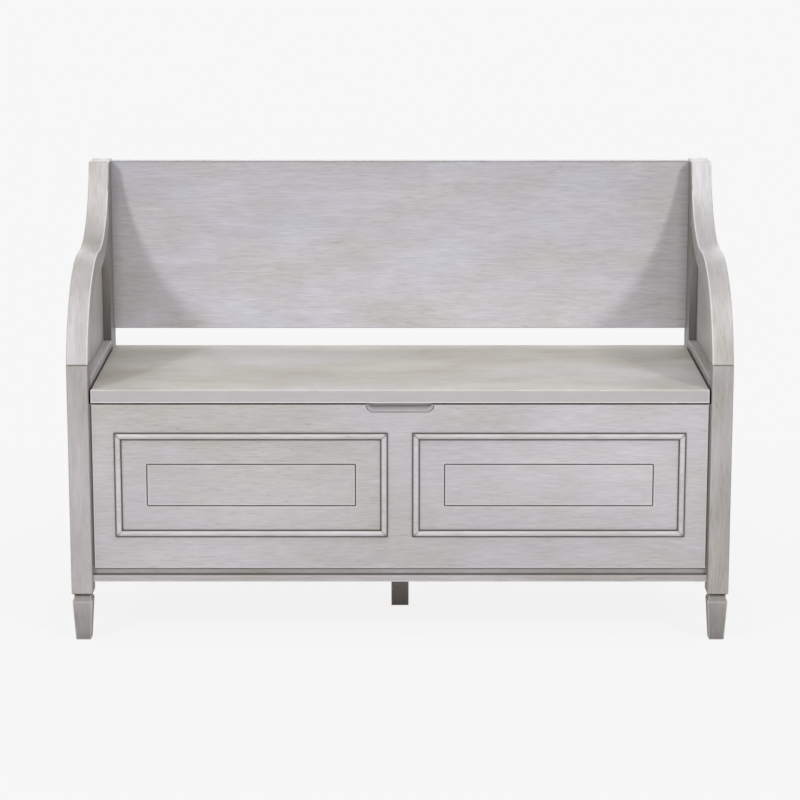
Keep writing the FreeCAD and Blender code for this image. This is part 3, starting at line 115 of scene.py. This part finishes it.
class Graph:
    """Short ways to add shader nodes to one material."""

    def __init__(self, name):
        self.material = bpy.data.materials.new(name)
        self.material.use_nodes = True
        self.tree = self.material.node_tree
        self.tree.nodes.clear()

    def add(self, kind, inputs=None, **settings):
        made = self.tree.nodes.new("ShaderNode" + kind)
        for key, value in settings.items():
            setattr(made, key, value)
        for key, value in (inputs or {}).items():
            socket = made.inputs[key]
            if isinstance(value, bpy.types.NodeSocket):
                self.tree.links.new(value, socket)
            else:
                socket.default_value = value
        return made

    def math(self, operation, first, second=0.0, clamp=False):
        made = self.add("Math", {0: first, 1: second}, operation=operation, use_clamp=clamp)
        return made.outputs[0]

    def mix(self, share, first, second):
        made = self.add("Mix", {0: share, 6: first, 7: second}, data_type="RGBA")
        return made.outputs[2]

    def blend(self, share, first, second):
        made = self.add("Mix", {0: share, 2: first, 3: second}, data_type="FLOAT")
        return made.outputs[0]

    def ramp(self, value, low, high, start=0.0, end=1.0):
        """Value from low to high becomes start to end, held beyond both."""
        inputs = {0: value, 1: low, 2: high, 3: start, 4: end}
        return self.add("MapRange", inputs, clamp=True).outputs[0]

    def noise(self, place, scale, detail=3.0, rough=0.5):
        """Noise whose scale differs along the axes."""
        stretched = self.add("Mapping", {"Vector": place, "Scale": scale}).outputs[0]
        inputs = {"Vector": stretched, "Scale": 1.0, "Detail": detail, "Roughness": rough}
        return self.add("TexNoise", inputs).outputs[0]

    def occlusion(self, distance, inside=False):
        """1 on an open face, less in a corner, or inside the solid less at a thin edge."""
        made = self.add("AmbientOcclusion", {"Distance": distance}, samples=SAMPLES, inside=inside)
        return made.outputs["AO"]

    def zone(self, axes, limits):
        """1 inside the limits along the axes, with an edge outside them that may be soft."""
        share = None
        for axis, low, high, *soft in limits:
            reach = (high - low) / 2
            away = self.math("ABSOLUTE", self.math("SUBTRACT", axes[axis], low + reach))
            inside = self.ramp(away, reach, reach + (soft[0] if soft else SKIN), 1.0, 0.0)
            share = inside if share is None else self.math("MINIMUM", share, inside)
        return share

    def finish(self, shader):
        output = self.add("OutputMaterial")
        self.tree.links.new(shader, output.inputs[0])
        return self.material


GRAINS = {
    "x": lambda along, across: (along, across, across),
    "y": lambda along, across: (across, along, across),
    "z": lambda along, across: (across, across, along),
    "bend": lambda along, across: (across, along, along),
}


def painted(name, grain, cool, warm, **look):
    """Grey-washed paint: brushed streaks along the grain, mottling and a glaze with painted
    shade in the corners.

    A zone is a colour, its strength and its limits. A fade is an axis, two places on it and
    the tones there. side_grain is for the faces that look along X; one more look value sets
    painted shade on those of them that look at the middle of the bench. Convex edges get wear
    and a painted highlight.
    """
    g = Graph(name)
    tone = look.get("tone", 1.0)
    still = g.add("TexCoord").outputs["Object"]
    place = still
    if look.get("own_pattern", True):
        own = g.add("ObjectInfo").outputs["Random"]
        shift = g.add("CombineXYZ", {0: own, 1: g.math("MULTIPLY", own, 7.0), 2: own}).outputs[0]
        place = g.add("VectorMath", {0: still, 1: shift}, operation="ADD").outputs[0]
    split = g.add("SeparateXYZ", {0: still}).outputs
    axes = {"X": g.math("ABSOLUTE", split[0]), "Y": split[1], "Z": split[2]}
    normal = g.add("SeparateXYZ", {0: g.add("NewGeometry").outputs["Normal"]}).outputs[0]
    sideways = g.ramp(g.math("ABSOLUTE", normal), 0.5, 0.8)

    def grained(along, across, detail, rough):
        front = g.noise(place, GRAINS[grain](along, across), detail, rough)
        if "side_grain" not in look:
            return front
        side = g.noise(place, GRAINS[look["side_grain"]](along, across), detail, rough)
        return g.blend(sideways, front, side)

    patches = grained(4.5, 11.0, 3.0, 0.55)
    colour = g.mix(g.ramp(patches, 0.38, 0.62), cool, warm)
    washed = grained(2.6, 5.5, 2.0, 0.5)
    colour = g.mix(g.ramp(washed, 0.46, 0.7, 0.0, 0.55), colour, WASH)
    broad = grained(7.0, 70.0, 4.0, 0.6)
    fine = grained(30.0, 340.0, 3.0, 0.6)
    pores = grained(44.0, 460.0, 2.0, 0.5)
    mottle = look.get("mottle", 0.05)
    value = g.ramp(patches, 0.3, 0.7, 1.0 + mottle, 1.0 - mottle)
    value = g.math("MULTIPLY", value, g.ramp(broad, 0.3, 0.7, 0.95, 1.05))
    value = g.math("MULTIPLY", value, g.ramp(fine, 0.3, 0.7, 0.9, 1.1))
    worn = g.ramp(patches, 0.4, 0.65, 0.93 * tone, 0.8 * tone)
    value = g.math("MULTIPLY", value, g.ramp(pores, 0.6, 0.7, tone, worn))
    for axis, low, high, first, last in look.get("fades", ()):
        value = g.math("MULTIPLY", value, g.ramp(axes[axis], low, high, first, last))
    colour = g.add("VectorMath", {0: colour, "Scale": value}, operation="SCALE").outputs[0]
    # Painted shade on the faces that look at the middle of the bench.
    if "inner" in look:
        outward = g.math("MULTIPLY", normal, g.math("SIGN", split[0]))
        colour = g.mix(g.ramp(outward, -0.8, -0.4, look["inner"], 0.0), colour, GLAZE_AND_SHADE)
    for tint, strength, limits in look.get("zones", ()):
        uneven = g.ramp(broad, 0.35, 0.6, 0.8 * strength, strength)
        colour = g.mix(g.math("MULTIPLY", g.zone(axes, limits), uneven), colour, tint)
    # Glaze and painted shade: corners, gaps and recesses darkened by ambient occlusion.
    tight = g.occlusion(TIGHT_CORNER)
    wide = g.occlusion(WIDE_CORNER)
    corner = g.ramp(wide, 0.35, 0.9, look.get("corner", 0.4), 0.0)
    crevice_glaze_and_shade = g.math("MAXIMUM", g.ramp(tight, 0.45, 0.92, 0.85, 0.0), corner)
    crevice_glaze_and_shade = g.math("MAXIMUM", crevice_glaze_and_shade, g.ramp(wide, 0.12, 0.35, 0.95, 0.0))
    colour = g.mix(crevice_glaze_and_shade, colour, GLAZE_AND_SHADE)
    # Convex edges: wear and a painted highlight; with the dark glaze colour, as on the beads,
    # painted shade.
    edges = g.occlusion(ROUNDED_EDGE, inside=True)
    rubbed = g.ramp(edges, 0.45, 0.95, look.get("rub", 0.5), 0.0)
    if "joined" in look:
        away = g.math("ABSOLUTE", g.math("SUBTRACT", axes["Y"], look["joined"]))
        rubbed = g.math("MULTIPLY", rubbed, g.ramp(away, JOINT_NEAR, JOINT_FAR))
    colour = g.mix(rubbed, colour, look.get("edge", WORN_AND_HIGHLIGHT))
    height = g.math("ADD", g.math("MULTIPLY", fine, 0.6), g.math("MULTIPLY", broad, 0.4))
    bump = g.add("Bump", {"Strength": 0.3, "Distance": 0.0005, "Height": height}).outputs[0]
    rough = g.ramp(broad, 0.3, 0.7, 0.42, 0.56)
    shader = g.add(
        "BsdfPrincipled",
        {"Base Color": colour, "Roughness": rough, "Normal": bump, "Specular IOR Level": 0.35},
    ).outputs[0]
    return g.finish(shader)


END_ZONES = (
    (GLAZE_AND_SHADE, 0.25, (("X", OUTER - EDGE_END, OUTER - EDGE_START),)),
    (GLAZE_AND_SHADE, 0.95, (("Z", SEAM - SEAM_HALF, SEAM + SEAM_HALF),)),
)
# On the arms' inner edge a light line of wear and painted highlight.
ARM_ZONES = END_ZONES + ((WORN_AND_HIGHLIGHT, 0.7, (("X", INNER + EDGE_START, INNER + EDGE_END),)),)
# Feet: the neck band and the dark line under the leg are glaze and painted shade; the light line at
# the shoulder is wear and a painted highlight.
NECK_ZONES = (
    (GLAZE_AND_SHADE, 0.3, (("Z", NECK_LOW, NECK_HIGH),)),
    (GLAZE_AND_SHADE, 0.85, (("Z", NECK_HIGH - 0.006, NECK_HIGH - SKIN),)),
    (WORN_AND_HIGHLIGHT, 0.25, (("Z", NECK_LOW - 0.0015, NECK_LOW),)),
)
# Painted shade with glaze on the post's front face inside the arm recess, darker low down; the
# post's top is darker, with a dark line at its rear edge.
STRIP = (("X", 0.0, RECESS_SIDE), ("Y", POST_FRONT, POST_FRONT + SKIN))
POST_ZONES = NECK_ZONES + (
    (GLAZE_AND_SHADE, 0.4, (*STRIP, ("Z", 0.0, 0.6, 0.12))),
    (GLAZE_AND_SHADE, 0.6, (*STRIP, ("Z", 0.0, 0.5, 0.12))),
    (GLAZE_AND_SHADE, 0.3, (("Z", POST_HIGH[2] - SKIN, FAR),)),
    (GLAZE_AND_SHADE, 0.5, (("Y", POST_HIGH[1] - EDGE_END, FAR), ("Z", POST_HIGH[2] - 0.002, FAR))),
)
# Glaze and painted shade on the groove walls of the front panel and in the rebates at its ends.
FRONT_ZONES = (
    (GLAZE_AND_SHADE, 0.85, (("X", 0.0, INNER - 0.006), ("Y", PANEL_FACE + SKIN, PANEL_FACE + 0.0016))),
    (
        GLAZE_AND_SHADE,
        0.5,
        (("X", INNER - REBATE_SIDE, FAR), ("Y", PANEL_FACE + 0.001, PANEL_FACE + REBATE_BACK)),
    ),
)
# Glaze and painted shade on the flats beside the beads.
BEAD_ZONES = ((GLAZE_AND_SHADE, 0.85, (("Y", PANEL_FACE - BEAD_FLAT, FAR),)),)
# Painted shade on the set-back band above the lip, darkest in a line at its foot where it meets the
# lip.
LIP_ZONES = (
    (GLAZE_AND_SHADE, 0.12, (("Z", LIP_TOP - SKIN, FAR),)),
    (GLAZE_AND_SHADE, 0.7, (("Z", LIP_TOP - SKIN, LIP_TOP + THIN_LINE),)),
)
LID_ZONES = (
    (LILAC, 0.85, (("Y", -FAR, LID_LOW[1] + LID_FACE), ("Z", 0.0, LID_HIGH[2] - LID_ROUND))),
    (WORN_AND_HIGHLIGHT, 0.5, (("Y", -FAR, LID_LOW[1] + LID_FACE), ("Z", 0.0, LID_LOW[2] + 0.0015))),
)
# The back board's top edge gets glaze and painted shade, and its foot a thin dark line.
BOARD_ZONES = (
    (GLAZE_AND_SHADE, 0.6, (("Z", BOARD_HIGH[2] - 0.002, FAR),)),
    (GLAZE_AND_SHADE, 0.3, (("Z", 0.0, BOARD_LOW[2] + THIN_LINE),)),
)
RAIL_ENDS = (
    (GLAZE_AND_SHADE, 0.7, (("Y", LEG_BACK - SKIN, LEG_BACK + SKIN),)),
    (GLAZE_AND_SHADE, 0.7, (("Y", POST_FRONT - SKIN, POST_FRONT + SKIN),)),
)
# Painted light on the back board: lighter towards its foot, darker towards its top.
BOARD_LIGHT_FADE = ("Z", BOARD_LOW[2], BOARD_HIGH[2], 1.16, 0.83)
# Painted shade on the lid: darker towards the rear and towards its ends, under the arms.
LID_SHADE_FADES = (("Y", 0.02, LID_HIGH[1], 1.05, 0.8), ("X", 0.3, INNER, 1.0, 0.89))
ARM_FADES = (("Z", 0.6, 0.66, 0.97, 0.8), ("Z", 0.68, 0.76, 1.0, 1.28))
PAINT = {
    "leg": painted(
        "paint_leg", "z", srgb(176, 171, 170), srgb(166, 161, 156),
        tone=0.92, rub=0.35, inner=0.5, zones=END_ZONES + NECK_ZONES,
        fades=(("Z", 0.04, NECK_HIGH, 0.7, 1.0),),
    ),
    "arm": painted(
        "paint_arm", "bend", srgb(186, 183, 184), srgb(176, 171, 164),
        own_pattern=False, side_grain="y", mottle=0.09, inner=0.25,
        zones=ARM_ZONES, fades=ARM_FADES, joined=POST_FRONT,
    ),
    "post": painted(
        "paint_post", "bend", srgb(186, 183, 184), srgb(176, 171, 164),
        own_pattern=False, side_grain="z", mottle=0.09, inner=0.6,
        zones=POST_ZONES, fades=ARM_FADES, joined=POST_FRONT,
    ),
    "front": painted(
        "paint_front", "x", srgb(187, 183, 187), srgb(184, 180, 176),
        tone=0.94, mottle=0.02, zones=FRONT_ZONES, fades=(("Z", 0.15, 0.3, 0.96, 1.0),),
    ),
    "bead": painted(
        "paint_bead", "x", srgb(196, 192, 194), srgb(188, 185, 183),
        rub=0.6, edge=GLAZE_AND_SHADE, zones=BEAD_ZONES,
    ),
    "back": painted(
        "paint_back", "x", srgb(190, 188, 196), srgb(187, 184, 183),
        mottle=0.035, rub=0.2, zones=BOARD_ZONES, fades=(BOARD_LIGHT_FADE,),
    ),
    "seat": painted(
        "paint_seat", "x", srgb(186, 183, 176), srgb(176, 172, 161),
        tone=1.03, rub=0.7, zones=LID_ZONES, fades=LID_SHADE_FADES,
    ),
    "lip": painted(
        "paint_lip", "x", srgb(178, 173, 174), srgb(172, 168, 163),
        tone=0.91, corner=0.05, zones=LIP_ZONES,
    ),
    "rail": painted("paint_rail", "x", srgb(183, 179, 179), srgb(176, 173, 168)),
    # The arm and side panels get a darker tone, painted shade on their faces.
    "end": painted("paint_end", "z", srgb(174, 170, 166), srgb(166, 161, 154), tone=0.82),
    "depth": painted("paint_depth", "y", srgb(178, 175, 172), srgb(170, 167, 161), zones=RAIL_ENDS),
}


def plain_wood(name, grain, pale, dark):
    """Unpainted wood inside the box."""
    g = Graph(name)
    stretch = GRAINS[grain]
    place = g.add("TexCoord").outputs["Object"]
    rings = g.noise(place, stretch(1.2, 26.0), 3.0, 0.55)
    fibre = g.noise(place, stretch(14.0, 500.0), 3.0, 0.6)
    colour = g.mix(g.ramp(rings, 0.35, 0.65), pale, dark)
    colour = g.mix(g.ramp(fibre, 0.35, 0.75, 0.0, 0.35), colour, dark)
    bump = g.add("Bump", {"Strength": 0.3, "Distance": 0.0004, "Height": fibre}).outputs[0]
    shader = g.add("BsdfPrincipled", {"Base Color": colour, "Roughness": 0.7, "Normal": bump})
    return g.finish(shader.outputs[0])


def metal(name):
    g = Graph(name)
    place = g.add("TexCoord").outputs["Object"]
    brushed = g.noise(place, (60.0, 2400.0, 2400.0), 2.0, 0.5)
    rough = g.ramp(brushed, 0.3, 0.7, 0.28, 0.42)
    colour = g.mix(g.ramp(brushed, 0.3, 0.7), srgb(196, 192, 184), srgb(178, 174, 166))
    shader = g.add("BsdfPrincipled", {"Base Color": colour, "Metallic": 1.0, "Roughness": rough})
    return g.finish(shader.outputs[0])


def rubber(name):
    g = Graph(name)
    place = g.add("TexCoord").outputs["Object"]
    cloud = g.noise(place, (300.0, 300.0, 300.0), 3.0, 0.5)
    colour = g.mix(cloud, srgb(118, 114, 110), srgb(108, 104, 100))
    shader = g.add("BsdfPrincipled", {"Base Color": colour, "Roughness": 0.6})
    return g.finish(shader.outputs[0])


HIDDEN_WOOD = plain_wood("hidden_wood", "x", srgb(201, 178, 142), srgb(176, 148, 110))
BOARD_WOOD = plain_wood("box_wood", "x", srgb(196, 180, 150), srgb(178, 158, 126))
STEEL = metal("plated_steel")
PAD = rubber("dark_rubber")

NODE_PAINT = (
    ("front_leg", PAINT["leg"]),
    ("rear_post", PAINT["post"]),
    ("arm_panel", PAINT["end"]),
    ("arm_", PAINT["arm"]),
    ("side_panel", PAINT["end"]),
    ("side_", PAINT["depth"]),
    ("front_panel", PAINT["front"]),
    ("bead_", PAINT["bead"]),
    ("front_bottom_rail", PAINT["lip"]),
    ("hinge_rail_screws", STEEL),
    ("hinge_rail", PAINT["rail"]),
    ("rear_bottom_rail", PAINT["rail"]),
    ("box_back_panel", PAINT["rail"]),
    ("back_board", PAINT["back"]),
    ("front_cleat", HIDDEN_WOOD),
    ("rear_cleat", HIDDEN_WOOD),
    ("bottom_panel", BOARD_WOOD),
    ("centre_bearer", HIDDEN_WOOD),
    ("centre_leg", PAINT["leg"]),
    ("lid_bumpers", PAD),
    ("lid", PAINT["seat"]),
    ("hinge_", STEEL),
)


def dress(name, thing):
    """Give a CAD node the material of the first name that fits it."""
    for start, material in NODE_PAINT:
        if name.startswith(start):
            for slot in thing.material_slots:
                slot.material = material
            return
    raise ValueError("no material for " + name)


for node_name, node_object in NODES.items():
    dress(node_name, node_object)


# Stage.

FLOOR_REACH = 40.0
FLOOR_GREY = 0.8
SHADOW_REACH = 0.7
SHADOW_SHARE = 0.93
FLOOR_CLEAR = 1.6


def make_floor():
    """Pale floor: lit and shaded near the bench, even and bright far from it."""
    mesh = bpy.data.meshes.new("floor")
    build = bmesh.new()
    bmesh.ops.create_grid(build, x_segments=1, y_segments=1, size=FLOOR_REACH)
    build.to_mesh(mesh)
    build.free()
    thing = bpy.data.objects.new("floor", mesh)
    bpy.context.scene.collection.objects.link(thing)
    g = Graph("floor")
    place = g.add("TexCoord").outputs["Object"]
    reach = g.add("VectorMath", {0: place}, operation="LENGTH").outputs["Value"]
    lit = g.add("BsdfDiffuse", {"Color": (FLOOR_GREY, FLOOR_GREY, FLOOR_GREY, 1.0)}).outputs[0]
    even = g.add("Emission", {"Color": (1.0, 1.0, 1.0, 1.0), "Strength": BACKGROUND}).outputs[0]
    path = g.add("LightPath").outputs
    seen = g.math("MAXIMUM", path["Is Camera Ray"], path["Is Glossy Ray"])
    seen = g.math("MAXIMUM", seen, path["Is Transmission Ray"])
    share = g.math("MULTIPLY", seen, g.ramp(reach, SHADOW_REACH, FLOOR_CLEAR, SHADOW_SHARE, 1.0))
    shader = g.add("MixShader", {0: share, 1: lit, 2: even}).outputs[0]
    thing.data.materials.append(g.finish(shader))


def make_world():
    world = bpy.data.worlds.new("studio")
    bpy.context.scene.world = world
    world.use_nodes = True
    tree = world.node_tree
    tree.nodes.clear()
    path = tree.nodes.new("ShaderNodeLightPath")
    camera_or_gloss = tree.nodes.new("ShaderNodeMath")
    camera_or_gloss.operation = "MAXIMUM"
    tree.links.new(path.outputs["Is Camera Ray"], camera_or_gloss.inputs[0])
    tree.links.new(path.outputs["Is Glossy Ray"], camera_or_gloss.inputs[1])
    seen = tree.nodes.new("ShaderNodeMath")
    seen.operation = "MAXIMUM"
    tree.links.new(camera_or_gloss.outputs[0], seen.inputs[0])
    tree.links.new(path.outputs["Is Transmission Ray"], seen.inputs[1])
    ambient = tree.nodes.new("ShaderNodeBackground")
    ambient.inputs[0].default_value = (0.97, 0.98, 1.0, 1.0)
    ambient.inputs[1].default_value = AMBIENT
    plain = tree.nodes.new("ShaderNodeBackground")
    plain.inputs[0].default_value = (1.0, 1.0, 1.0, 1.0)
    plain.inputs[1].default_value = BACKGROUND
    mixed = tree.nodes.new("ShaderNodeMixShader")
    tree.links.new(seen.outputs[0], mixed.inputs[0])
    tree.links.new(ambient.outputs[0], mixed.inputs[1])
    tree.links.new(plain.outputs[0], mixed.inputs[2])
    output = tree.nodes.new("ShaderNodeOutputWorld")
    tree.links.new(mixed.outputs[0], output.inputs[0])


AMBIENT = 0.22
AIM = Vector((0.0, 0.0, 0.45))

# Name, direction from AIM, distance, width and power.

LAMPS = (
    ("lamp_left", Vector((-0.76, -1.0, 0.72)), 6.5, 0.8, 149.0),
    ("lamp_right", Vector((0.76, -1.0, 0.72)), 6.5, 0.8, 149.0),
    ("lamp_top", Vector((0.0, -0.35, 1.0)), 3.6, 2.8, 54.0),
    ("lamp_rear", Vector((0.0, 1.0, 0.55)), 4.5, 2.8, 72.0),
    ("lamp_west", Vector((-1.0, 0.1, 0.22)), 4.5, 2.4, 34.0),
    ("lamp_east", Vector((1.0, 0.1, 0.22)), 4.5, 2.4, 34.0),
)


def make_lamps():
    for name, direction, distance, width, power in LAMPS:
        data = bpy.data.lights.new(name, "AREA")
        data.shape = "SQUARE"
        data.size = width
        data.energy = power
        lamp = bpy.data.objects.new(name, data)
        bpy.context.scene.collection.objects.link(lamp)
        lamp.location = AIM + direction.normalized() * distance
        lamp.rotation_euler = direction.to_track_quat("Z", "Y").to_euler()


def make_camera():
    data = bpy.data.cameras.new("camera")
    data.sensor_width = SENSOR_WIDTH
    data.lens = FOCAL_PIXELS / IMAGE_SIZE * SENSOR_WIDTH
    data.shift_y = CAMERA_SHIFT
    camera = bpy.data.objects.new("camera", data)
    bpy.context.scene.collection.objects.link(camera)
    front = CAD_BOX[0][1]
    camera.location = (0.0, front - CAMERA_DISTANCE, CAMERA_HEIGHT)
    camera.rotation_euler = (math.radians(90.0 - CAMERA_TILT), 0.0, 0.0)
    bpy.context.scene.camera = camera


make_floor()
make_world()
make_lamps()
make_camera()
bpy.context.scene.view_settings.view_transform = "Standard"
